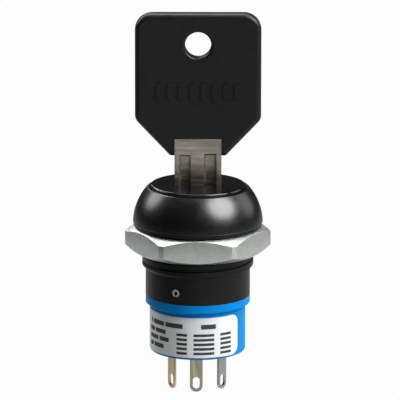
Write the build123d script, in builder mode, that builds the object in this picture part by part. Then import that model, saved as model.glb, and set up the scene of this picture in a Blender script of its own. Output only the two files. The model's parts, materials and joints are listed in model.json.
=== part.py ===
"""Panel-mount selector key switch: a wafer lock that turns a two-way contact block.

Millimetres. The origin is the centre of the panel seat, the flat underside of the
bezel flange. +Z runs along the lock axis towards the key, and -Y is the front, where
the key's flat side and one flat of the hex nut face. Angles named "..._from_front"
are measured around +Z from the front, positive towards +X.
"""
from build123d import *
import math
import os

# ---------------------------------------------------------------- driving dimensions

# Mounting thread, 19 mm with 1.27 mm pitch and broad flat crests, and its hex nut
thread_major_radius = 9.5
thread_pitch = 1.27
thread_depth = 0.3
thread_crest_width = 0.8
thread_start_z = 0.3
thread_shoulder_z = -6.9
thread_end_z = -7.3
thread_embed = 0.2
thread_clearance = 0.05
nut_across_flats = 22.0
nut_corner_radius = 12.43
nut_top_z = -0.12
nut_thickness = 4.45
nut_chamfer_angle = 30
nut_face_radius = 10.45
nut_recess_radius = 10.3
nut_recess_depth = 0.38
nut_bore_chamfer = 0.3
nut_thread_lead = 0.35
washer_outer_radius = 10.2
washer_inner_radius = 9.6
washer_top_z = -0.05
washer_thickness = 0.4

# Bezel and housing
flange_radius = 10.95
flange_thickness = 0.5
dome_arc_centre_radius = 1.55
dome_arc_centre_z = 0.19
dome_arc_radius = 9.55
dome_arc_middle_angle = 25
dome_top_z = 6.55
dome_rim_drop = 0.12
dome_rim_radius = 0.1
dome_mouth_radius = 8.2
dome_mouth_drop = 0.1
dome_lip_width = 0.3
housing_top_z = 5.8
body_radius = 8.92
housing_bottom_z = -12.15
plug_bore_radius = 6.05
plug_bore_bottom_z = -8.0
rear_cavity_radius = 7.3
wafer_groove_radius = 6.95
wafer_groove_width = 5.4
wafer_groove_top_z = 4.0
wafer_groove_bottom_z = -7.6

# Plug and its face
face_radius = 8.1
face_top_z = 7.07
face_edge_radius = 0.28
face_bottom_z = 5.85
plug_radius = 6.0
plug_bottom_z = -8.95
keyway_length = 8.2
keyway_width = 2.35
keyway_bottom_z = -8.0
tongue_length = 8.0
tongue_thickness = 1.6
tongue_depth = 1.6
tongue_clearance = 0.05
tongue_end_clearance = 0.15
o_ring_z = 4.95
o_ring_radius = 5.68
o_ring_wire = 0.36
clip_top_z = -8.1
clip_thickness = 0.6
clip_inner_radius = 5.25
clip_outer_radius = 7.0
clip_mouth_half_angle = 32
groove_clearance = 0.02

# Wafers
wafer_count = 6
wafer_pitch = 1.9
first_wafer_z = 3.2
wafer_thickness = 0.9
wafer_width = 5.2
wafer_end_radius = 5.93
wafer_window_length = 8.3
wafer_window_width = 2.5
wafer_slot_clearance = 0.05
spring_ear_length = 0.9
spring_ear_reach = 1.1
wafer_spring_radius = 0.36
wafer_spring_wire = 0.09
wafer_spring_length = 2.0
wafer_spring_turns = 5
spring_pocket_clearance = 0.1

# Key
bow_width = 21.42
bow_top_z = 36.82
bow_shoulder_z = 18.46
bow_tip_x = 4.74
bow_tip_z = 12.14
bow_thickness = 2.6
bow_corner_radius = 3.0
bow_shoulder_radius = 1.8
bow_tip_radius = 0.35
bow_edge_radius = 0.85
bow_notch_top_z = 15.15
ring_hole_radius = 2.22
ring_hole_z = 31.38
ring_hole_rim_radius = 0.45
rib_count = 8
rib_width = 0.95
rib_spacing = 1.9
rib_height = 2.75
rib_corner_radius = 0.3
rib_centre_z = 23.5
rib_relief = 0.28
rib_embed = 0.05
blade_width = 8.0
blade_thickness = 2.15
blade_tip_z = -7.6
blade_tip_width = 3.0
blade_tip_taper = 1.6
blade_groove_depth = 0.5
blade_groove_wall_angle = 32
blade_grooves = [(-3.2, -1.2, 12.3), (0.98, 3.15, 12.55)]
tang_width = 6.4
tang_thickness = 1.3
tang_top_z = 28.0
tang_overlap = 0.5
tang_corner_radius = 0.4
tang_hole_radius = 1.5
tang_hole_drop = 3.0
cut_depths = [0.45, 0.85, 0.3, 0.7, 0.95, 0.55]
cut_floor_length = 0.9

# Switch case, rotor and contacts
case_collar_bottom_z = -13.45
case_neck_bottom_z = -14.0
case_radius = 8.15
case_bottom_z = -21.95
case_edge_radius = 0.4
spigot_radius = 7.25
spigot_top_z = -9.1
rotor_bore_radius = 5.9
rotor_radius = 5.8
rotor_top_z = -9.4
rotor_bottom_z = -14.8
chamber_top_z = -14.9
chamber_radius = 7.1
stem_width = 3.0
stem_bottom_z = -18.3
detent_z = -12.6
ball_radius = 1.0
ball_travel = 0.25
ball_stand_off = 0.05
ball_hole_clearance = 0.06
notch_clearance = 0.05
detent_spring_radius = 0.72
detent_spring_wire = 0.15
detent_spring_turns = 9
contact_spring_radius = 3.0
contact_spring_wire = 0.2
contact_spring_turns = 4
pin_angle_from_front = -24.7
pin_radius = 0.65
pin_bore_radius = 0.36
pin_slit_width = 0.2
pin_z = -10.15
pin_inner_end = 6.15
pin_outer_end = 8.9
pin_hole_length = 4.0
base_top_z = -19.9
base_bottom_z = -21.2
base_radius = 7.06
epoxy_bottom_z = -21.75
lug_circle_radius = 5.15
common_lug_angle_from_front = -2.5
lug_spread_angle = 55.5
lug_width = 2.17
lug_thickness = 0.4
lug_slot_gap = 0.02
lug_tip_z = -28.25
lug_tip_radius = 1.05
lug_eye_width = 1.17
lug_eye_top_z = -25.67
lug_eye_bottom_z = -27.78
foot_thickness = 0.4
outer_foot_length = 2.1
common_foot_overrun = 1.0
button_radius = 1.0
button_height = 0.4
button_edge_radius = 0.25
outer_button_circle_radius = 4.3
wiper_top_z = -18.5
wiper_thickness = 0.4
wiper_hub_radius = 2.6
wiper_arm_overrun = 1.2
wiper_arm_half_angle = 20
wiper_rest_angle_from_front = 45
wiper_ear_width = 2.2
wiper_ear_height = 1.6
wiper_ear_embed = 0.1
wiper_ear_gap = 0.02

# Rating label
label_thickness = 0.08
label_top_z = -14.5
label_bottom_z = -21.5
label_left_angle_from_front = -110
label_right_angle_from_front = 55.6
label_corner_radius = 1.5

# Small gap between faces of one assembly that only touch, how far a cutting shape
# reaches past the surface that it trims, and how closely an edge is picked by its size
assembly_gap = 0.01
cutter_reach = 1.0
pick_tolerance = 0.01

# ---------------------------------------------------------------- shared geometry

wafer_heights = [first_wafer_z - i * wafer_pitch for i in range(wafer_count)]
nut_bottom_z = nut_top_z - nut_thickness
thread_root_radius = thread_major_radius - thread_depth
thread_flank = math.tan(math.radians(30))
ear_y = wafer_width / 2 + spring_ear_reach / 2
ball_centre = rotor_radius + ball_stand_off - ball_radius
lug_angles = {"common_terminal": common_lug_angle_from_front,
              "left_terminal": common_lug_angle_from_front - lug_spread_angle,
              "right_terminal": common_lug_angle_from_front + lug_spread_angle}

os.makedirs("parts", exist_ok=True)


def save(part, name):
    """Label a finished piece and write it as its own STEP file."""
    part.label = name
    export_step(part, f"parts/{name}.step")


def plane_from_front(angle_from_front, radius, z):
    """Plane at a point on a circle about the lock axis: x runs around the axis,
    y runs up, and its normal points outwards."""
    angle = math.radians(angle_from_front)
    outwards = (math.sin(angle), -math.cos(angle), 0)
    around = (math.cos(angle), math.sin(angle), 0)
    origin = (radius * outwards[0], radius * outwards[1], z)
    return Plane(origin=origin, x_dir=around, z_dir=outwards)


def thread_ridge(base_radius, crest_radius, crest_width, top_z, bottom_z, phase=0):
    """Helical ridge of a right-hand 60 degree thread, cut off at two heights. It points
    outwards, or inwards for a crest inside its base; phase is in pitches."""
    turns = math.ceil((top_z - bottom_z) / thread_pitch) + 2
    helix_bottom = (phase - math.ceil(-bottom_z / thread_pitch) - 1) * thread_pitch
    base_half = crest_width / 2 + abs(crest_radius - base_radius) * thread_flank
    with BuildPart(mode=Mode.PRIVATE) as ridge:
        with BuildLine():
            Helix(thread_pitch, turns * thread_pitch, base_radius,
                  center=(0, 0, helix_bottom))
        with BuildSketch(Plane.XZ):
            with BuildLine():
                Polyline((base_radius, helix_bottom - base_half),
                         (crest_radius, helix_bottom - crest_width / 2),
                         (crest_radius, helix_bottom + crest_width / 2),
                         (base_radius, helix_bottom + base_half),
                         close=True)
            make_face()
        sweep(is_frenet=True)
        with Locations((0, 0, (top_z + bottom_z) / 2)):
            Cylinder(thread_major_radius + cutter_reach, top_z - bottom_z, mode=Mode.INTERSECT)
    return ridge.part


def coil(start, direction, radius, wire_radius, length, turns):
    """Open coil spring that runs from a point along a direction."""
    with BuildPart(mode=Mode.PRIVATE) as spring:
        with BuildLine():
            path = Helix(length / turns, length, radius, center=start, direction=direction)
        with BuildSketch(Plane(origin=path @ 0, z_dir=path % 0)):
            Circle(wire_radius)
        sweep(is_frenet=True)
    return spring.part


# ---------------------------------------------------------------- housing and bezel

# Thread, chamfered at its lower end
thread_reach_radius = thread_major_radius + cutter_reach
housing_ridge = thread_ridge(thread_root_radius - thread_embed, thread_major_radius,
                             thread_crest_width, thread_start_z, thread_end_z)
with BuildPart() as housing_thread:
    with BuildSketch(Plane.XZ):
        with BuildLine():
            Polyline((0, thread_start_z),
                     (thread_reach_radius, thread_start_z),
                     (thread_reach_radius, thread_shoulder_z + cutter_reach),
                     (thread_major_radius - thread_shoulder_z + thread_end_z, thread_end_z),
                     (0, thread_end_z),
                     close=True)
        make_face()
    revolve(axis=Axis.Z)
    add(housing_ridge, mode=Mode.INTERSECT)

# Die-cast housing with the thread, the plug bore, the wafer grooves and the rear cavity
with BuildPart() as lock_housing:
    with BuildSketch(Plane.XZ):
        with BuildLine():
            Polyline((plug_bore_radius, housing_top_z),
                     (dome_mouth_radius - assembly_gap, housing_top_z),
                     (dome_mouth_radius - assembly_gap, flange_thickness),
                     (flange_radius, flange_thickness),
                     (flange_radius, 0),
                     (thread_root_radius, 0),
                     (thread_root_radius, thread_shoulder_z - thread_depth),
                     (body_radius, thread_shoulder_z - (thread_major_radius - body_radius)),
                     (body_radius, housing_bottom_z),
                     (rear_cavity_radius, housing_bottom_z),
                     (rear_cavity_radius, plug_bore_bottom_z),
                     (plug_bore_radius, plug_bore_bottom_z),
                     close=True)
        make_face()
    revolve(axis=Axis.Z)
    add(housing_thread.part)
    # Grooves that catch the wafers when the key is out
    with BuildSketch(Plane.XY.offset(wafer_groove_bottom_z)):
        Circle(wafer_groove_radius)
        Rectangle(2 * wafer_groove_radius, wafer_groove_width, mode=Mode.INTERSECT)
    extrude(amount=wafer_groove_top_z - wafer_groove_bottom_z, mode=Mode.SUBTRACT)
    # Cross holes for the roll pins that hold the switch case
    for angle in (pin_angle_from_front, pin_angle_from_front + 180):
        with BuildSketch(plane_from_front(angle, plug_bore_radius, pin_z)):
            Circle(pin_radius + assembly_gap)
        extrude(amount=pin_hole_length, mode=Mode.SUBTRACT)
save(lock_housing.part, "lock_housing")

# Domed bezel ring pressed over the housing's hub
dome_base_z = flange_thickness + assembly_gap
dome_foot_rise = dome_base_z - dome_arc_centre_z
dome_foot_radius = dome_arc_centre_radius + math.sqrt(dome_arc_radius**2 - dome_foot_rise**2)
dome_crown_z = dome_top_z - dome_rim_drop
dome_crown_rise = dome_crown_z - dome_arc_centre_z
dome_crown_radius = dome_arc_centre_radius + math.sqrt(dome_arc_radius**2 - dome_crown_rise**2)
dome_middle_angle = math.radians(dome_arc_middle_angle)
dome_middle = (dome_arc_centre_radius + dome_arc_radius * math.cos(dome_middle_angle),
               dome_arc_centre_z + dome_arc_radius * math.sin(dome_middle_angle))
with BuildPart() as dome_bezel:
    with BuildSketch(Plane.XZ):
        with BuildLine():
            ThreePointArc((dome_foot_radius, dome_base_z), dome_middle,
                          (dome_crown_radius, dome_crown_z))
            Polyline((dome_crown_radius, dome_crown_z),
                     (dome_mouth_radius + dome_lip_width, dome_top_z),
                     (dome_mouth_radius, dome_top_z - dome_mouth_drop),
                     (dome_mouth_radius, dome_base_z),
                     (dome_foot_radius, dome_base_z))
        make_face()
    revolve(axis=Axis.Z)
    rim_edges = dome_bezel.edges().filter_by(GeomType.CIRCLE).group_by(Axis.Z)[-1]
    fillet(rim_edges, dome_rim_radius)
save(dome_bezel.part, "dome_bezel")

# ---------------------------------------------------------------- nut and washer

# Hex nut: corners turned round, both faces chamfered, internal thread
nut_corner_drop = (nut_corner_radius - nut_face_radius) * math.tan(math.radians(nut_chamfer_angle))
nut_recess_z = nut_top_z - nut_recess_depth
nut_bore_radius = thread_root_radius + thread_clearance
nut_groove_radius = thread_major_radius + thread_clearance
nut_crest_width = (thread_pitch - thread_crest_width
                   - 2 * thread_clearance / math.cos(math.radians(30))
                   - 2 * thread_flank * (thread_major_radius - nut_bore_radius))
nut_ridge = thread_ridge(nut_groove_radius + thread_embed, nut_bore_radius, nut_crest_width,
                         nut_recess_z - nut_thread_lead, nut_bottom_z + nut_thread_lead,
                         phase=0.5)
with BuildPart() as hex_nut:
    with BuildSketch(Plane.XY.offset(nut_bottom_z)):
        RegularPolygon(nut_across_flats / 2, 6, major_radius=False)
    extrude(amount=nut_thickness)
    with BuildSketch(Plane.XZ):
        with BuildLine():
            Polyline((nut_groove_radius, nut_recess_z - nut_bore_chamfer),
                     (nut_groove_radius + nut_bore_chamfer, nut_recess_z),
                     (nut_recess_radius, nut_recess_z),
                     (nut_recess_radius, nut_top_z),
                     (nut_face_radius, nut_top_z),
                     (nut_corner_radius, nut_top_z - nut_corner_drop),
                     (nut_corner_radius, nut_bottom_z + nut_corner_drop),
                     (nut_face_radius, nut_bottom_z),
                     (nut_groove_radius + nut_bore_chamfer, nut_bottom_z),
                     (nut_groove_radius, nut_bottom_z + nut_bore_chamfer),
                     close=True)
        make_face()
    revolve(axis=Axis.Z, mode=Mode.INTERSECT)
    add(nut_ridge)
save(hex_nut.part, "hex_nut")

# Fibre washer carried in the nut's recess
with BuildPart() as nut_washer:
    with BuildSketch(Plane.XY.offset(washer_top_z - washer_thickness)):
        Circle(washer_outer_radius)
        Circle(washer_inner_radius, mode=Mode.SUBTRACT)
    extrude(amount=washer_thickness)
save(nut_washer.part, "nut_washer")

# ---------------------------------------------------------------- plug and wafers

# Polished face disc with the key slot
with BuildPart() as plug_face:
    with BuildSketch(Plane.XY.offset(face_bottom_z)):
        Circle(face_radius)
        Rectangle(keyway_length, keyway_width, mode=Mode.SUBTRACT)
    extrude(amount=face_top_z - face_bottom_z)
    rim = plug_face.edges().filter_by(GeomType.CIRCLE).group_by(Axis.Z)[-1]
    fillet(rim, face_edge_radius)
save(plug_face.part, "plug_face")

# Brass plug with its keyway, wafer slots, spring pockets, seal groove and drive tongue
wafer_slot_height = wafer_thickness + 2 * wafer_slot_clearance
plug_grooves = [(o_ring_radius - o_ring_wire, o_ring_z, 2 * o_ring_wire),
                (clip_inner_radius, clip_top_z - clip_thickness / 2, clip_thickness)]
with BuildPart() as lock_plug:
    with BuildSketch(Plane.XY.offset(plug_bottom_z)):
        Circle(plug_radius)
    extrude(amount=face_bottom_z - assembly_gap - plug_bottom_z)
    # Keyway
    with BuildSketch(Plane.XY.offset(keyway_bottom_z)):
        Rectangle(keyway_length, keyway_width)
    extrude(amount=face_bottom_z - keyway_bottom_z, mode=Mode.SUBTRACT)
    # Wafer slots right across the plug, and a spring pocket beside each
    for wafer_z in wafer_heights:
        with Locations((0, 0, wafer_z)):
            Box(2 * (plug_radius + cutter_reach), wafer_width + 2 * wafer_slot_clearance,
                wafer_slot_height, mode=Mode.SUBTRACT)
        with Locations((spring_ear_length / 2, ear_y, wafer_z)):
            Box(2 * spring_ear_length + wafer_spring_length,
                spring_ear_reach + 2 * spring_pocket_clearance,
                wafer_slot_height, mode=Mode.SUBTRACT)
    # Grooves for the seal and the retaining clip
    for inner_radius, middle_z, width in plug_grooves:
        with BuildSketch(Plane.XY.offset(middle_z - width / 2 - groove_clearance)):
            Circle(plug_radius + cutter_reach)
            Circle(inner_radius - groove_clearance, mode=Mode.SUBTRACT)
        extrude(amount=width + 2 * groove_clearance, mode=Mode.SUBTRACT)
    # Tongue that drives the contact rotor
    with BuildSketch(Plane.XY.offset(plug_bottom_z)):
        Rectangle(tongue_length, tongue_thickness)
    extrude(amount=-tongue_depth)
save(lock_plug.part, "lock_plug")

# Flat brass wafers, drawn level with the plug's wall as the key holds them
for number, wafer_z in enumerate(wafer_heights, start=1):
    with BuildPart() as wafer:
        with BuildSketch(Plane.XY.offset(wafer_z - wafer_thickness / 2)):
            Circle(wafer_end_radius)
            Rectangle(2 * wafer_end_radius, wafer_width, mode=Mode.INTERSECT)
            with Locations((-spring_ear_length / 2, ear_y)):
                Rectangle(spring_ear_length, spring_ear_reach)
            Rectangle(wafer_window_length, wafer_window_width, mode=Mode.SUBTRACT)
        extrude(amount=wafer_thickness)
    save(wafer.part, f"wafer_{number}")

# One small coil spring per wafer, pushing on its ear
wafer_coils = [coil((wafer_spring_wire + assembly_gap, ear_y, wafer_z), (1, 0, 0),
                    wafer_spring_radius, wafer_spring_wire, wafer_spring_length,
                    wafer_spring_turns)
               for wafer_z in wafer_heights]
with BuildPart() as wafer_springs:
    add(wafer_coils)
save(wafer_springs.part, "wafer_springs")

with BuildPart() as plug_o_ring:
    with Locations((0, 0, o_ring_z)):
        Torus(o_ring_radius, o_ring_wire)
save(plug_o_ring.part, "plug_o_ring")

# Snap ring that keeps the plug in its bore
mouth_x = 2 * clip_outer_radius * math.cos(math.radians(clip_mouth_half_angle))
mouth_y = 2 * clip_outer_radius * math.sin(math.radians(clip_mouth_half_angle))
with BuildPart() as retaining_clip:
    with BuildSketch(Plane.XY.offset(clip_top_z - clip_thickness)):
        Circle(clip_outer_radius)
        Circle(clip_inner_radius, mode=Mode.SUBTRACT)
        with BuildLine():
            Polyline((0, 0), (mouth_x, -mouth_y), (mouth_x, mouth_y), close=True)
        make_face(mode=Mode.SUBTRACT)
    extrude(amount=clip_thickness)
save(retaining_clip.part, "retaining_clip")

# ---------------------------------------------------------------- key

# Nickel-silver blade with milled grooves, bitting on both edges and a moulded-in tang
with BuildPart() as key_blade:
    with BuildSketch(Plane.XZ):
        with BuildLine():
            Polyline((-blade_width / 2, bow_notch_top_z),
                     (-blade_width / 2, blade_tip_z + blade_tip_taper),
                     (-blade_tip_width / 2, blade_tip_z),
                     (blade_tip_width / 2, blade_tip_z),
                     (blade_width / 2, blade_tip_z + blade_tip_taper),
                     (blade_width / 2, bow_notch_top_z),
                     close=True)
        make_face()
        # A flat-bottomed V cut in each edge for every wafer
        for wafer_z, depth in zip(wafer_heights, cut_depths):
            for side in (-1, 1):
                edge_x = side * blade_width / 2
                outside_x = edge_x + side * cutter_reach
                floor_x = edge_x - side * depth
                half_floor = cut_floor_length / 2
                half_mouth = half_floor + depth / 2
                with BuildLine():
                    Polyline((edge_x, wafer_z + half_mouth),
                             (floor_x, wafer_z + half_floor),
                             (floor_x, wafer_z - half_floor),
                             (edge_x, wafer_z - half_mouth),
                             (outside_x, wafer_z - half_mouth),
                             (outside_x, wafer_z + half_mouth),
                             close=True)
                make_face(mode=Mode.SUBTRACT)
    extrude(amount=blade_thickness / 2, both=True)
    # Slant-walled grooves milled in both faces, open at the tip
    below_z = blade_tip_z - cutter_reach
    for first_x, last_x, top_z in blade_grooves:
        for side in (-1, 1):
            groove_mouth = Plane(origin=((first_x + last_x) / 2, side * blade_thickness / 2,
                                         (top_z + below_z) / 2),
                                 x_dir=(1, 0, 0), z_dir=(0, -side, 0))
            with BuildSketch(groove_mouth):
                Rectangle(last_x - first_x, top_z - below_z)
            extrude(amount=blade_groove_depth, taper=blade_groove_wall_angle,
                    mode=Mode.SUBTRACT)
    # Tang inside the bow, with a hole that the plastic fills
    tang_bottom_z = bow_notch_top_z - tang_overlap
    with BuildSketch(Plane.XZ):
        with Locations((0, (tang_bottom_z + tang_top_z) / 2)):
            RectangleRounded(tang_width, tang_top_z - tang_bottom_z, tang_corner_radius)
        with Locations((0, tang_top_z - tang_hole_drop)):
            Circle(tang_hole_radius, mode=Mode.SUBTRACT)
    extrude(amount=tang_thickness / 2, both=True)
save(key_blade.part, "key_blade")

# Moulded bow: shouldered head, key-ring hole, blade notch and raised grip ribs
with BuildPart() as key_bow:
    with BuildSketch(Plane.XZ):
        with BuildLine():
            Polyline((-bow_width / 2, bow_shoulder_z),
                     (-bow_width / 2, bow_top_z),
                     (bow_width / 2, bow_top_z),
                     (bow_width / 2, bow_shoulder_z),
                     (bow_tip_x, bow_tip_z),
                     (blade_width / 2, bow_tip_z),
                     (blade_width / 2, bow_notch_top_z),
                     (-blade_width / 2, bow_notch_top_z),
                     (-blade_width / 2, bow_tip_z),
                     (-bow_tip_x, bow_tip_z),
                     close=True)
        make_face()
        fillet(vertices().group_by(Axis.Y)[-1], bow_corner_radius)
        shoulders = [v for v in vertices() if abs(v.Y - bow_shoulder_z) < pick_tolerance]
        fillet(shoulders, bow_shoulder_radius)
        tips = [v for v in vertices() if abs(abs(v.X) - bow_tip_x) < pick_tolerance]
        fillet(tips, bow_tip_radius)
    extrude(amount=bow_thickness / 2, both=True)
    outline = key_bow.edges().filter_by(Plane.XZ)
    outer_edges = [e for e in outline
                   if e.center().Z > bow_notch_top_z + bow_tip_radius
                   or abs(e.center().X) > bow_tip_x + bow_tip_radius]
    fillet(outer_edges, bow_edge_radius)
    with BuildSketch(Plane.XZ):
        with Locations((0, ring_hole_z)):
            Circle(ring_hole_radius)
    extrude(amount=bow_thickness, both=True, mode=Mode.SUBTRACT)
    hole_rims = [e for e in key_bow.edges().filter_by(GeomType.CIRCLE)
                 if abs(e.radius - ring_hole_radius) < pick_tolerance]
    fillet(hole_rims, ring_hole_rim_radius)
    for side in (-1, 1):
        rib_plane = Plane(origin=(0, side * (bow_thickness / 2 - rib_embed), 0),
                          x_dir=(1, 0, 0), z_dir=(0, side, 0))
        with BuildSketch(rib_plane):
            with Locations((0, -side * rib_centre_z)):
                with GridLocations(rib_spacing, 1, rib_count, 1):
                    RectangleRounded(rib_width, rib_height, rib_corner_radius)
        extrude(amount=rib_relief + rib_embed)
    add(key_blade.part, mode=Mode.SUBTRACT)
save(key_bow.part, "key_bow")

# ---------------------------------------------------------------- switch block

# Blue moulded case: spigot inside the housing, collar, and the contact chamber
with BuildPart() as switch_case:
    with BuildSketch(Plane.XZ):
        with BuildLine():
            Polyline((rotor_bore_radius, spigot_top_z),
                     (spigot_radius, spigot_top_z),
                     (spigot_radius, housing_bottom_z - assembly_gap),
                     (body_radius, housing_bottom_z - assembly_gap),
                     (body_radius, case_collar_bottom_z),
                     (case_radius, case_neck_bottom_z),
                     (case_radius, case_bottom_z),
                     (chamber_radius, case_bottom_z),
                     (chamber_radius, chamber_top_z),
                     (rotor_bore_radius, chamber_top_z),
                     close=True)
        make_face()
    revolve(axis=Axis.Z)
    lowest_edges = switch_case.edges().filter_by(GeomType.CIRCLE).group_by(Axis.Z)[0]
    fillet(lowest_edges.sort_by(SortBy.RADIUS)[-1], case_edge_radius)
    for angle in (pin_angle_from_front, pin_angle_from_front + 180):
        with BuildSketch(plane_from_front(angle, rotor_bore_radius - cutter_reach, pin_z)):
            Circle(pin_radius + assembly_gap)
        extrude(amount=pin_hole_length, mode=Mode.SUBTRACT)
    # Detent notches a quarter turn apart
    with Locations((0, 0, detent_z)):
        with PolarLocations(ball_centre + ball_travel, 4):
            Sphere(ball_radius + notch_clearance, mode=Mode.SUBTRACT)
save(switch_case.part, "switch_case")

# Hollow slotted spring pins
for name, angle in (("roll_pin_front", pin_angle_from_front),
                    ("roll_pin_rear", pin_angle_from_front + 180)):
    with BuildPart() as roll_pin:
        with BuildSketch(plane_from_front(angle, pin_inner_end, pin_z)):
            Circle(pin_radius)
            Circle(pin_bore_radius, mode=Mode.SUBTRACT)
            with Locations((0, -pin_radius)):
                Rectangle(pin_slit_width, 2 * pin_radius, mode=Mode.SUBTRACT)
        extrude(amount=pin_outer_end - pin_inner_end)
    save(roll_pin.part, name)

# Rotor driven by the plug's tongue, with a square stem for the moving contact
tongue_engagement = tongue_depth - (plug_bottom_z - rotor_top_z)
with BuildPart() as contact_rotor:
    with BuildSketch(Plane.XY.offset(rotor_bottom_z)):
        Circle(rotor_radius)
    extrude(amount=rotor_top_z - rotor_bottom_z)
    with BuildSketch(Plane.XY.offset(rotor_top_z)):
        Rectangle(tongue_length + 2 * tongue_clearance, tongue_thickness + 2 * tongue_clearance)
    extrude(amount=-(tongue_engagement + tongue_end_clearance), mode=Mode.SUBTRACT)
    with BuildSketch(Plane.XY.offset(rotor_bottom_z)):
        Rectangle(stem_width, stem_width)
    extrude(amount=stem_bottom_z - rotor_bottom_z)
    with BuildSketch(Plane.YZ):
        with Locations((0, detent_z)):
            Circle(ball_radius + ball_hole_clearance)
    extrude(amount=rotor_radius + cutter_reach, both=True, mode=Mode.SUBTRACT)
save(contact_rotor.part, "contact_rotor")

# Detent balls at the ends of one spring across the rotor
for name, side in (("detent_ball_right", 1), ("detent_ball_left", -1)):
    with BuildPart() as detent_ball:
        with Locations((side * ball_centre, 0, detent_z)):
            Sphere(ball_radius)
    save(detent_ball.part, name)

ball_seat_depth = math.sqrt((ball_radius + detent_spring_wire)**2 - detent_spring_radius**2)
detent_spring_half = ball_centre - ball_seat_depth - assembly_gap
detent_coil = coil((-detent_spring_half, 0, detent_z), (1, 0, 0), detent_spring_radius,
                   detent_spring_wire, 2 * detent_spring_half, detent_spring_turns)
with BuildPart() as detent_spring:
    add(detent_coil)
save(detent_spring.part, "detent_spring")

# Moving contact: a fan-shaped arm, a centre disc and two ears on the stem
arm_end_radius = lug_circle_radius + wiper_arm_overrun
arm_points = [Vector(0, -arm_end_radius).rotate(Axis.Z, wiper_rest_angle_from_front + turn)
              for turn in (-wiper_arm_half_angle, 0, wiper_arm_half_angle)]
ear_x = (stem_width + wiper_thickness) / 2 + wiper_ear_gap
ear_middle_z = wiper_top_z + wiper_ear_height / 2 - wiper_ear_embed
with BuildPart() as wiper_contact:
    with BuildSketch(Plane.XY.offset(wiper_top_z - wiper_thickness)):
        Circle(wiper_hub_radius)
        with BuildLine():
            Line((0, 0), arm_points[0])
            ThreePointArc(*arm_points)
            Line(arm_points[2], (0, 0))
        make_face()
    extrude(amount=wiper_thickness)
    for side in (-1, 1):
        with Locations((side * ear_x, 0, ear_middle_z)):
            Box(wiper_thickness, wiper_ear_width, wiper_ear_height)
save(wiper_contact.part, "wiper_contact")

# Spring that presses the moving contact down from the rotor
contact_spring_bottom = wiper_top_z + contact_spring_wire + assembly_gap
contact_spring_top = rotor_bottom_z - contact_spring_wire - assembly_gap
contact_coil = coil((0, 0, contact_spring_bottom), (0, 0, 1), contact_spring_radius,
                    contact_spring_wire, contact_spring_top - contact_spring_bottom,
                    contact_spring_turns)
with BuildPart() as contact_spring:
    add(contact_coil)
save(contact_spring.part, "contact_spring")

# Solder lugs: an eyed blade through the base, with a foot folded inwards on top of it
foot_lengths = {"common_terminal": lug_circle_radius + common_foot_overrun,
                "left_terminal": outer_foot_length, "right_terminal": outer_foot_length}
eye_height = lug_eye_top_z - lug_eye_bottom_z
for name, angle in lug_angles.items():
    with BuildPart() as terminal:
        with BuildSketch(plane_from_front(angle, lug_circle_radius, 0)):
            with Locations((0, (base_top_z + foot_thickness + lug_tip_z) / 2)):
                Rectangle(lug_width, base_top_z + foot_thickness - lug_tip_z)
            fillet(vertices().group_by(Axis.Y)[0], lug_tip_radius)
            with Locations((0, (lug_eye_top_z + lug_eye_bottom_z) / 2)):
                SlotOverall(eye_height, lug_eye_width, rotation=90, mode=Mode.SUBTRACT)
        extrude(amount=lug_thickness / 2, both=True)
        foot_middle = lug_circle_radius + lug_thickness / 2 - foot_lengths[name] / 2
        foot_plane = plane_from_front(angle, foot_middle, base_top_z)
        foot_face = Plane(origin=foot_plane.origin, x_dir=foot_plane.x_dir, z_dir=(0, 0, 1))
        with BuildSketch(foot_face):
            Rectangle(lug_width, foot_lengths[name])
        extrude(amount=foot_thickness)
    save(terminal.part, name)

# Silver rivets on the feet: one at the centre and one at each outer lug
button_places = {"common_contact": (0, 0),
                 "left_contact": (lug_angles["left_terminal"], outer_button_circle_radius),
                 "right_contact": (lug_angles["right_terminal"], outer_button_circle_radius)}
button_base_z = base_top_z + foot_thickness
for name, (angle, radius) in button_places.items():
    centre = plane_from_front(angle, radius, button_base_z).origin
    with BuildPart() as button:
        with BuildSketch(Plane(origin=centre)):
            Circle(button_radius)
        extrude(amount=button_height)
        fillet(button.edges().group_by(Axis.Z)[-1], button_edge_radius)
    save(button.part, name)

# Base plate that carries the lugs, and the resin that seals it from below
for name, top_z, bottom_z in (("terminal_base", base_top_z, base_bottom_z),
                              ("epoxy_seal", base_bottom_z, epoxy_bottom_z)):
    with BuildPart() as plate:
        with BuildSketch(Plane.XY.offset(bottom_z)):
            Circle(base_radius)
        extrude(amount=top_z - bottom_z)
        for angle in lug_angles.values():
            with BuildSketch(plane_from_front(angle, lug_circle_radius, (top_z + bottom_z) / 2)):
                Rectangle(lug_width + lug_slot_gap, top_z - bottom_z + cutter_reach)
            extrude(amount=(lug_thickness + lug_slot_gap) / 2, both=True, mode=Mode.SUBTRACT)
    save(plate.part, name)

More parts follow.
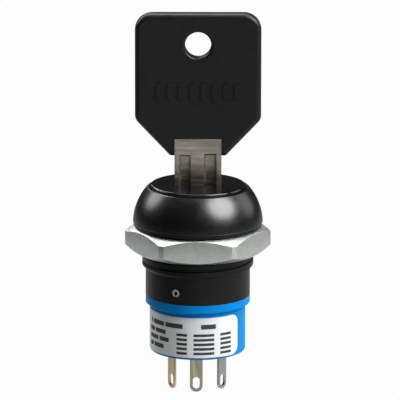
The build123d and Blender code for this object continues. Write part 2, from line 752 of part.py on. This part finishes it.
# Paper label wrapped round the case, with rounded corners
label_height = label_top_z - label_bottom_z
label_middle_z = (label_top_z + label_bottom_z) / 2
label_start = plane_from_front(label_left_angle_from_front, 0, 0)
corner_turn = math.degrees(label_corner_radius / case_radius)
with BuildPart() as rating_label:
    with BuildSketch(Plane(origin=(0, 0, 0), x_dir=label_start.z_dir,
                           z_dir=-label_start.x_dir)):
        with Locations((case_radius + label_thickness / 2, label_middle_z)):
            Rectangle(label_thickness, label_height)
    revolve(axis=Axis.Z,
            revolution_arc=label_right_angle_from_front - label_left_angle_from_front)
    for end_angle, side in ((label_left_angle_from_front, -1), (label_right_angle_from_front, 1)):
        corner_plane = plane_from_front(end_angle - side * corner_turn,
                                        case_radius - cutter_reach, label_middle_z)
        with BuildSketch(corner_plane):
            for end in (-1, 1):
                with Locations((side * label_corner_radius, end * label_height / 2)):
                    Rectangle(2 * label_corner_radius, 2 * label_corner_radius)
            for end in (-1, 1):
                with Locations((0, end * (label_height / 2 - label_corner_radius))):
                    Circle(label_corner_radius, mode=Mode.SUBTRACT)
        extrude(amount=2 * cutter_reach, mode=Mode.SUBTRACT)
save(rating_label.part, "rating_label")
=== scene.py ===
"""Looks of the selector key switch: materials, printed label, studio light and camera.

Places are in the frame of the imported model, with +Z along the lock axis towards the key
and -Y the front. Lengths are in metres, except where a comment says millimetres.
"""
import json
import math
import bmesh
import bpy
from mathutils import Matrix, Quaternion, Vector


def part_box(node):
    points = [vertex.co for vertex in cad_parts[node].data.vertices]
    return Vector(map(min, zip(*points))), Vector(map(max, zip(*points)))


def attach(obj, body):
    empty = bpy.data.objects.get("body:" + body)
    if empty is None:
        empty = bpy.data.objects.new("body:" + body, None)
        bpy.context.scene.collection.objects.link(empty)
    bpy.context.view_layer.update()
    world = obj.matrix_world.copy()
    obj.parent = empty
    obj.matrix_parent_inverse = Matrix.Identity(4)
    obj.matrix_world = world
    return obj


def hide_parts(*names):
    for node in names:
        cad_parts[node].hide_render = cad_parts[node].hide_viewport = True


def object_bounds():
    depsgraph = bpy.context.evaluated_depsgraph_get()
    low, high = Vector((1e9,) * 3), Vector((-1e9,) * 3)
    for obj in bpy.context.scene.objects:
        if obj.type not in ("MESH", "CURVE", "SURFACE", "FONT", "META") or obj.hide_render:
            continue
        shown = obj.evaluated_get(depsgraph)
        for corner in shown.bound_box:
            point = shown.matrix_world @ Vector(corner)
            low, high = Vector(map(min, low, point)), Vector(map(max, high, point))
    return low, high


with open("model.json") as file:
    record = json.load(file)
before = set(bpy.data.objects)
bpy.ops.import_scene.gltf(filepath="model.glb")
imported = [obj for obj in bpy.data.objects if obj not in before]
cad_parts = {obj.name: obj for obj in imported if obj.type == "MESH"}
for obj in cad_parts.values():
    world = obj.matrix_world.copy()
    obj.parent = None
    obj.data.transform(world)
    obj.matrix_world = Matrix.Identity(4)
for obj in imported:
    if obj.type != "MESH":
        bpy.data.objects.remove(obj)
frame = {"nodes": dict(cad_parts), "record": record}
cad_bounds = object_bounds()
nodes = frame["nodes"]
scene = bpy.context.scene

MM = 0.001


# ------------------------------------------------------------------ camera

VIEW_PITCH = math.radians(13.8)
VIEW_DISTANCE = 0.9
VIEW_ROLL = math.radians(0.1)
VIEW_TARGET = Vector((0.00036, 0, 0.0042))
VIEW_SIDE = 0.068178        # width of what the square picture shows at the target
SENSOR = 36.0               # millimetres

camera_data = bpy.data.cameras.new("camera")
camera_data.sensor_width = SENSOR
camera_data.lens = SENSOR * VIEW_DISTANCE / VIEW_SIDE
camera_data.clip_start = 0.01
camera_data.clip_end = 20
camera = bpy.data.objects.new("camera", camera_data)
view_back = Vector((0, -math.cos(VIEW_PITCH), math.sin(VIEW_PITCH)))
camera.location = VIEW_TARGET + view_back * VIEW_DISTANCE
level = view_back.to_track_quat("Z", "Y")
camera.rotation_euler = (level @ Quaternion((0, 0, 1), VIEW_ROLL)).to_euler()
scene.collection.objects.link(camera)
scene.camera = camera


# ------------------------------------------------------------------ studio

FLOOR_GAP = 0.0005
FLOOR_SIZE = 12.0
FLOOR_BRIGHT = 0.985

floor_z = cad_bounds[0][2] - FLOOR_GAP
floor_mesh = bpy.data.meshes.new("floor")
half = FLOOR_SIZE / 2
floor_mesh.from_pydata([(-half, -half, floor_z), (half, -half, floor_z),
                        (half, half, floor_z), (-half, half, floor_z)], [], [(0, 1, 2, 3)])
floor = bpy.data.objects.new("floor", floor_mesh)
scene.collection.objects.link(floor)
floor_material = bpy.data.materials.new("pale_floor")
floor_material.use_nodes = True
floor_shader = floor_material.node_tree.nodes["Principled BSDF"]
floor_shader.inputs["Base Color"].default_value = (0, 0, 0, 1)
floor_shader.inputs["Roughness"].default_value = 1.0
floor_shader.inputs["Specular IOR Level"].default_value = 0.0
floor_shader.inputs["Emission Color"].default_value = (1, 1, 1, 1)
floor_shader.inputs["Emission Strength"].default_value = FLOOR_BRIGHT
floor_mesh.materials.append(floor_material)
# The floor's own glow neither shows in the object nor lights it: the room below does that
floor.visible_glossy = False
floor.visible_diffuse = False


def softbox(name, direction, distance, size, radiance):
    """Oval area light of even brightness that faces the middle of the view."""
    data = bpy.data.lights.new(name, "AREA")
    data.shape = "ELLIPSE"
    data.size = size[0]
    data.size_y = size[1]
    data.energy = radiance * math.pi * size[0] * size[1] * math.pi / 4
    light = bpy.data.objects.new(name, data)
    towards = Vector(direction).normalized()
    light.location = VIEW_TARGET + towards * distance
    light.rotation_euler = towards.to_track_quat("Z", "Y").to_euler()
    scene.collection.objects.link(light)


softbox("key_light", (0.62, -0.40, 0.67), 0.5, (0.42, 0.42), 11.3)
softbox("left_light", (-0.79, 0.36, 0.50), 0.5, (0.27, 0.27), 4.6)
softbox("right_light", (0.85, 0.37, 0.36), 0.5, (0.30, 0.30), 1.6)
softbox("back_left_light", (-0.39, 0.72, 0.62), 0.6, (0.50, 0.24), 4.5)
softbox("top_light", (0.0, 0.18, 0.98), 0.6, (0.55, 0.40), 7.0)

# The room the object reflects: dark above the horizon, and a pale table below it that is
# brightest at the front right, under the key light, and darkest at the front left
ROOM_DARK = 0.025
TABLE_BRIGHT = 0.62
TABLE_STARTS = -0.06        # height, as the Z of a direction, where the table begins to show
TABLE_IS_FULL = -0.28
LIT_SIDE = (0.87, -0.5, 0)
LIT_GAIN = 0.25
SHADED_SIDE = (-0.87, -0.5, 0)
SHADED_LOSS = 0.36
world = bpy.data.worlds.new("studio")
scene.world = world
world.use_nodes = True
room = world.node_tree
where = room.nodes.new("ShaderNodeTexCoord")


def room_node(kind, operation, first, second, output=0):
    """Maths node of the room's shader; an input is a socket or a plain value."""
    node = room.nodes.new(kind)
    node.operation = operation
    for socket, value in zip(node.inputs, (first, second)):
        if isinstance(value, bpy.types.NodeSocket):
            room.links.new(value, socket)
        else:
            socket.default_value = value
    return node.outputs[output]


def patch(towards, gain):
    """Brightness that grows to gain towards one direction and is nought on the far side."""
    cosine = room_node("ShaderNodeVectorMath", "DOT_PRODUCT", where.outputs["Generated"],
                       Vector(towards).normalized(), output="Value")
    positive = room_node("ShaderNodeMath", "MAXIMUM", cosine, 0.0)
    squared = room_node("ShaderNodeMath", "POWER", positive, 2.0)
    return room_node("ShaderNodeMath", "MULTIPLY", squared, gain)


horizon = room.nodes.new("ShaderNodeMapRange")
horizon.inputs["From Min"].default_value = TABLE_STARTS
horizon.inputs["From Max"].default_value = TABLE_IS_FULL
height = room.nodes.new("ShaderNodeSeparateXYZ")
room.links.new(where.outputs["Generated"], height.inputs[0])
room.links.new(height.outputs["Z"], horizon.inputs["Value"])
table = room_node("ShaderNodeMath", "ADD", patch(LIT_SIDE, LIT_GAIN), TABLE_BRIGHT)
table = room_node("ShaderNodeMath", "SUBTRACT", table, patch(SHADED_SIDE, SHADED_LOSS))
table = room_node("ShaderNodeMath", "MULTIPLY", table, horizon.outputs["Result"])
table = room_node("ShaderNodeMath", "ADD", table, ROOM_DARK)
room.links.new(table, room.nodes["Background"].inputs["Strength"])
room.nodes["Background"].inputs["Color"].default_value = (1, 1, 1, 1)

scene.view_settings.view_transform = "Standard"
scene.view_settings.look = "None"


# ------------------------------------------------------------------ materials

NOISE_LOW = 0.3
NOISE_HIGH = 0.7
COLOUR_FROM = 0.35
COLOUR_TO = 0.65


class Look:
    """A Principled material whose colour, roughness and bump come from its nodes.
    Positions are in millimetres of the object, so a noise's scale is per millimetre, and
    a bump's depth is in millimetres."""

    def __init__(self, name, roughness, metallic=0.0, specular=0.5):
        self.material = bpy.data.materials.new(name)
        self.material.use_nodes = True
        self.tree = self.material.node_tree
        self.shader = self.tree.nodes["Principled BSDF"]
        self.shader.inputs["Metallic"].default_value = metallic
        self.shader.inputs["Roughness"].default_value = roughness
        self.shader.inputs["Specular IOR Level"].default_value = specular
        where = self.tree.nodes.new("ShaderNodeTexCoord")
        scale = self.tree.nodes.new("ShaderNodeVectorMath")
        scale.operation = "SCALE"
        scale.inputs["Scale"].default_value = 1 / MM
        self.tree.links.new(where.outputs["Object"], scale.inputs[0])
        self.place = scale.outputs[0]

    def noise(self, scale, stretch=(1, 1, 1), detail=3.0):
        """Noise, drawn out along each axis whose stretch is under 1."""
        mapping = self.tree.nodes.new("ShaderNodeMapping")
        mapping.inputs["Scale"].default_value = stretch
        texture = self.tree.nodes.new("ShaderNodeTexNoise")
        texture.inputs["Scale"].default_value = scale
        texture.inputs["Detail"].default_value = detail
        self.tree.links.new(self.place, mapping.inputs["Vector"])
        self.tree.links.new(mapping.outputs["Vector"], texture.inputs["Vector"])
        return texture.outputs["Fac"]

    def colour(self, source, dark, light, start=COLOUR_FROM, end=COLOUR_TO):
        blend = self.tree.nodes.new("ShaderNodeValToRGB")
        blend.color_ramp.elements[0].position = start
        blend.color_ramp.elements[0].color = (*dark, 1)
        blend.color_ramp.elements[1].position = end
        blend.color_ramp.elements[1].color = (*light, 1)
        self.tree.links.new(source, blend.inputs["Fac"])
        self.tree.links.new(blend.outputs["Color"], self.shader.inputs["Base Color"])

    def rough(self, source, low, high):
        spread = self.tree.nodes.new("ShaderNodeMapRange")
        spread.inputs["From Min"].default_value = NOISE_LOW
        spread.inputs["From Max"].default_value = NOISE_HIGH
        spread.inputs["To Min"].default_value = low
        spread.inputs["To Max"].default_value = high
        self.tree.links.new(source, spread.inputs["Value"])
        self.tree.links.new(spread.outputs["Result"], self.shader.inputs["Roughness"])

    def bump(self, source, depth):
        bump = self.tree.nodes.new("ShaderNodeBump")
        bump.inputs["Strength"].default_value = 1.0
        bump.inputs["Distance"].default_value = depth * MM
        self.tree.links.new(source, bump.inputs["Height"])
        self.tree.links.new(bump.outputs["Normal"], self.shader.inputs["Normal"])


def moulded(name, dark, light, roughness, grain=9.0, depth=0.006, specular=0.5):
    """Moulded plastic: a fine even grain and a faint mottle."""
    look = Look(name, roughness, specular=specular)
    look.colour(look.noise(0.35), dark, light)
    look.rough(look.noise(2.0), roughness - 0.04, roughness + 0.05)
    look.bump(look.noise(grain, detail=2.0), depth)
    return look.material


def plated(name, dark, light, roughness, grain, depth):
    """Satin metal plate: small mottled spots and a fine grain."""
    look = Look(name, roughness, metallic=1.0)
    look.colour(look.noise(1.6, detail=4.0), dark, light)
    look.rough(look.noise(3.0), roughness - 0.06, roughness + 0.08)
    look.bump(look.noise(grain), depth)
    return look.material


def drawn(name, dark, light, roughness, along=(1, 1, 1), grain=7.0, depth=0.003):
    """Drawn or milled metal: stains and marks that are drawn out by along."""
    look = Look(name, roughness, metallic=1.0)
    look.colour(look.noise(1.6, along, 5.0), dark, light)
    look.rough(look.noise(2.2, along), roughness - 0.08, roughness + 0.10)
    look.bump(look.noise(grain, along, 2.0), depth)
    return look.material


LUGS_REACH = 5.0            # millimetres each way from the axis


def tinned(name):
    """Tinned brass strip: warmer where the tin is thin, on the left, with rolling marks."""
    look = Look(name, 0.3, metallic=1.0)
    split = look.tree.nodes.new("ShaderNodeSeparateXYZ")
    look.tree.links.new(look.place, split.inputs[0])
    across = look.tree.nodes.new("ShaderNodeMapRange")
    across.inputs["From Min"].default_value = -LUGS_REACH
    across.inputs["From Max"].default_value = LUGS_REACH
    look.tree.links.new(split.outputs["X"], across.inputs["Value"])
    look.colour(across.outputs["Result"], (0.68, 0.58, 0.36), (0.52, 0.51, 0.46), 0.15, 0.85)
    along = (1, 1, 0.08)
    look.rough(look.noise(2.5, along), 0.22, 0.38)
    look.bump(look.noise(8.0, along, 2.0), 0.003)
    return look.material


LACQUER_MOTTLE = 1.6        # lightest patch as a multiple of the shade


def lacquer(name, shade, roughness, grain=3.0, depth=0.0008, specular=0.5):
    """Black plating: almost even, with a trace of polishing swirl."""
    look = Look(name, roughness, specular=specular)
    look.colour(look.noise(0.5), shade, tuple(LACQUER_MOTTLE * channel for channel in shade))
    look.rough(look.noise(1.2, detail=4.0), roughness - 0.02, roughness + 0.03)
    look.bump(look.noise(grain, detail=4.0), depth)
    return look.material


looks = {
    "bow_plastic": moulded("bow_plastic", (0.0045, 0.0045, 0.0046), (0.0065, 0.0065, 0.0067), 0.36,
                           grain=7.0, depth=0.004, specular=0.33),
    "nickel_silver": drawn("nickel_silver", (0.37, 0.35, 0.295), (0.53, 0.495, 0.425), 0.36,
                           (0.16, 1, 1), depth=0.0008),
    "gloss_black": lacquer("gloss_black", (0.002, 0.002, 0.002), 0.29, specular=0.74),
    "satin_black": lacquer("satin_black", (0.003, 0.003, 0.003), 0.36, grain=6.0, depth=0.002,
                           specular=0.28),
    "plated_nut": plated("plated_nut", (0.64, 0.66, 0.64), (0.72, 0.74, 0.72), 0.42,
                         grain=14.0, depth=0.002),
    "black_fibre": moulded("black_fibre", (0.012, 0.012, 0.012), (0.02, 0.02, 0.02), 0.7),
    "brass": drawn("brass", (0.55, 0.40, 0.17), (0.68, 0.52, 0.25), 0.3),
    "spring_steel": drawn("spring_steel", (0.75, 0.74, 0.72), (0.88, 0.87, 0.85), 0.34),
    "seal_rubber": moulded("seal_rubber", (0.01, 0.01, 0.01), (0.016, 0.016, 0.016), 0.6),
    "blue_plastic": moulded("blue_plastic", (0.0, 0.20, 0.55), (0.0, 0.22, 0.59), 0.32,
                            depth=0.002, specular=0.06),
    "white_nylon": moulded("white_nylon", (0.62, 0.61, 0.57), (0.70, 0.69, 0.65), 0.5),
    "phenolic": moulded("phenolic", (0.05, 0.035, 0.025), (0.08, 0.055, 0.04), 0.5),
    "epoxy": moulded("epoxy", (0.014, 0.014, 0.018), (0.022, 0.022, 0.026), 0.28, grain=1.2,
                     depth=0.02),
    "lug_plate": tinned("lug_plate"),
    "silver": drawn("silver", (0.66, 0.65, 0.62), (0.78, 0.77, 0.75), 0.24),
    "label_stock": moulded("label_stock", (0.70, 0.72, 0.73), (0.74, 0.76, 0.77), 0.42,
                           grain=5.0, depth=0.001, specular=0.3),
}
slot_of = {entry["node"]: entry["material_slot"] for entry in frame["record"]["subparts"]}
# The plug face is the one piece of its slot that is polished
polished_black = lacquer("polished_black", (0.002, 0.002, 0.002), 0.15)
for name, cad_object in nodes.items():
    finish = polished_black if name == "plug_face" else looks[slot_of[name]]
    cad_object.data.materials.clear()
    cad_object.data.materials.append(finish)


# ------------------------------------------------------------------ finer pieces

SHARP_FROM = math.radians(25)
FLAT_WITHIN = math.radians(0.5)
WELD_WITHIN = 0.0002 * MM
LATHE_STEPS = 240


def finish_mesh(name, mesh, body, slot, node):
    """Object from a finished bmesh: smooth, sharp at its corners, riding on its body, and
    shown in place of a CAD node."""
    bmesh.ops.recalc_face_normals(mesh, faces=mesh.faces)
    data = bpy.data.meshes.new(name)
    mesh.to_mesh(data)
    mesh.free()
    data.shade_smooth()
    data.set_sharp_from_angle(angle=SHARP_FROM)
    data.materials.append(looks[slot])
    piece = bpy.data.objects.new(name, data)
    scene.collection.objects.link(piece)
    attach(piece, body)
    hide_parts(node)


def ease_edges(name, node, body, radius, segments=2, inner_radius=0.0):
    """The shape of a CAD node with its sharp outer edges rounded. Edges nearer to the lock
    axis than inner_radius stay sharp. Sizes are in millimetres."""
    mesh = bmesh.new()
    mesh.from_mesh(nodes[node].data)
    bmesh.ops.remove_doubles(mesh, verts=mesh.verts, dist=WELD_WITHIN)
    bmesh.ops.dissolve_limit(mesh, angle_limit=FLAT_WITHIN, verts=mesh.verts, edges=mesh.edges)
    sharp = [edge for edge in mesh.edges
             if len(edge.link_faces) == 2 and edge.calc_face_angle(0) > SHARP_FROM
             and min(vert.co.xy.length for vert in edge.verts) >= inner_radius * MM]
    bmesh.ops.bevel(mesh, geom=sharp, offset=radius * MM, segments=segments, profile=0.5,
                    affect="EDGES", clamp_overlap=True)
    finish_mesh(name, mesh, body, slot_of[node], node)


def arc(centre, radius, start, end, steps):
    """Points of an arc of a profile, angles in degrees up from the horizontal."""
    turns = [math.radians(start + (end - start) * i / steps) for i in range(steps + 1)]
    return [(centre[0] + radius * math.cos(turn), centre[1] + radius * math.sin(turn))
            for turn in turns]


def lathe(profile):
    """Closed ring turned about the lock axis from (radius, z) points in millimetres."""
    mesh = bmesh.new()
    rings = []
    for i in range(LATHE_STEPS):
        turn = 2 * math.pi * i / LATHE_STEPS
        rings.append([mesh.verts.new((r * math.sin(turn) * MM, -r * math.cos(turn) * MM, z * MM))
                      for r, z in profile])
    for here, there in zip(rings, rings[1:] + rings[:1]):
        for i in range(len(profile)):
            j = (i + 1) % len(profile)
            mesh.faces.new((here[i], there[i], there[j], here[j]))
    return mesh


# Domed bezel, in millimetres and degrees: one smooth arc from its rounded foot to a rolled lip
DOME_ARC_RADIUS = 9.55
DOME_ARC_CENTRE_Z = 0.19
DOME_CROWN_ANGLE = 41.2
DOME_MOUTH_RADIUS = 8.2
DOME_LIP_RADIUS = 0.16
DOME_LIP_START_ANGLE = 62
DOME_FOOT_RADIUS = 0.2
DOME_FOOT_SKIP = 1.5        # angle of the arc that the rounded foot takes up
DOME_ARC_STEPS = 40
DOME_ROUND_STEPS = 8
dome_low, dome_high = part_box("dome_bezel")
dome_foot_z = dome_low.z / MM
dome_top_z = dome_high.z / MM
dome_centre = (dome_high.x / MM - DOME_ARC_RADIUS, DOME_ARC_CENTRE_Z)
foot_angle = math.degrees(math.asin((dome_foot_z - DOME_ARC_CENTRE_Z) / DOME_ARC_RADIUS))
foot_edge = dome_centre[0] + DOME_ARC_RADIUS * math.cos(math.radians(foot_angle))
foot_centre = (foot_edge - DOME_FOOT_RADIUS, dome_foot_z + DOME_FOOT_RADIUS)
lip_centre = (DOME_MOUTH_RADIUS + DOME_LIP_RADIUS, dome_top_z - DOME_LIP_RADIUS)
dome_profile = (arc(foot_centre, DOME_FOOT_RADIUS, -90, 0, DOME_ROUND_STEPS)
                + arc(dome_centre, DOME_ARC_RADIUS, foot_angle + DOME_FOOT_SKIP,
                      DOME_CROWN_ANGLE, DOME_ARC_STEPS)
                + arc(lip_centre, DOME_LIP_RADIUS, DOME_LIP_START_ANGLE, 180, DOME_ROUND_STEPS)
                + [(DOME_MOUTH_RADIUS, dome_foot_z)])
finish_mesh("bezel_dome", lathe(dome_profile), "housing", "gloss_black", "dome_bezel")

# Edges eased by a radius in millimetres; the nut's bore keeps its thread as it is
STAMPED_EDGE = 0.05
NUT_EDGE = 0.12
NUT_FACE_RADIUS = 10.0
ease_edges("blade_steel", "key_blade", "key", STAMPED_EDGE)
ease_edges("nut_body", "hex_nut", "nut", NUT_EDGE, segments=3, inner_radius=NUT_FACE_RADIUS)
for side in ("common", "left", "right"):
    ease_edges(f"{side}_lug", f"{side}_terminal", "housing", STAMPED_EDGE)


# ------------------------------------------------------------------ printed label

# Plain bars stand for the lines of print. Starts are in degrees round from the front. Sizes
# are in millimetres, and so are middles, which count up from the label's lower edge.
INK_LIFT = 0.012
WORD_GAP = 0.35
HEADING_HEIGHT = 0.8
HEADING_MIDDLE = 5.45
HEADINGS = [(-71, (0.5, 3.0, 3.4)), (4, (2.6,))]                            # start, words
SIDE_HEIGHT = 0.75
SIDE_START = -74
SIDE_LINES = [(4.05, (1.7, 2.6)), (2.75, (2.8, 2.2)), (1.45, (1.2, 2.6))]   # middle, words
COLUMN_HEIGHT = 0.45
COLUMN_MIDDLES = [3.95, 3.15, 2.35, 1.55, 0.75]
COLUMNS = [(-26, 1.9), (-5, 3.6), (28, 2.2)]                                # start, length

label_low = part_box("rating_label")[0]
label_radius = -label_low.y


def ink_bar(mesh, angle, middle, length, height):
    """Bar printed round the label, centred at an angle."""
    radius = label_radius + INK_LIFT * MM
    half_angle = math.degrees(length * MM / label_radius) / 2
    steps = max(2, int(half_angle))
    rows = []
    for end in (-1, 1):
        z = label_low.z + (middle + end * height / 2) * MM
        row = []
        for i in range(steps + 1):
            turn = math.radians(angle - half_angle + 2 * half_angle * i / steps)
            row.append(mesh.verts.new((radius * math.sin(turn), -radius * math.cos(turn), z)))
        rows.append(row)
    for i in range(steps):
        mesh.faces.new((rows[0][i], rows[0][i + 1], rows[1][i + 1], rows[1][i]))


def ink_row(mesh, start, middle, height, lengths):
    """A row of bars, one per word, that starts at an angle."""
    angle = start
    for length in lengths:
        width = math.degrees(length * MM / label_radius)
        ink_bar(mesh, angle + width / 2, middle, length, height)
        angle += width + math.degrees(WORD_GAP * MM / label_radius)


ink_mesh = bmesh.new()
for start, lengths in HEADINGS:
    ink_row(ink_mesh, start, HEADING_MIDDLE, HEADING_HEIGHT, lengths)
for middle, lengths in SIDE_LINES:
    ink_row(ink_mesh, SIDE_START, middle, SIDE_HEIGHT, lengths)
for start, length in COLUMNS:
    for middle in COLUMN_MIDDLES:
        ink_row(ink_mesh, start, middle, COLUMN_HEIGHT, (length,))
label_ink_mesh = bpy.data.meshes.new("label_print")
ink_mesh.to_mesh(label_ink_mesh)
ink_mesh.free()
label_print = bpy.data.objects.new("label_print", label_ink_mesh)
scene.collection.objects.link(label_print)
ink = Look("ink", 0.5)
ink.colour(ink.noise(4.0), (0.02, 0.02, 0.02), (0.05, 0.05, 0.05))
ink.rough(ink.noise(6.0), 0.45, 0.6)
label_print.data.materials.append(ink.material)
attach(label_print, "housing")
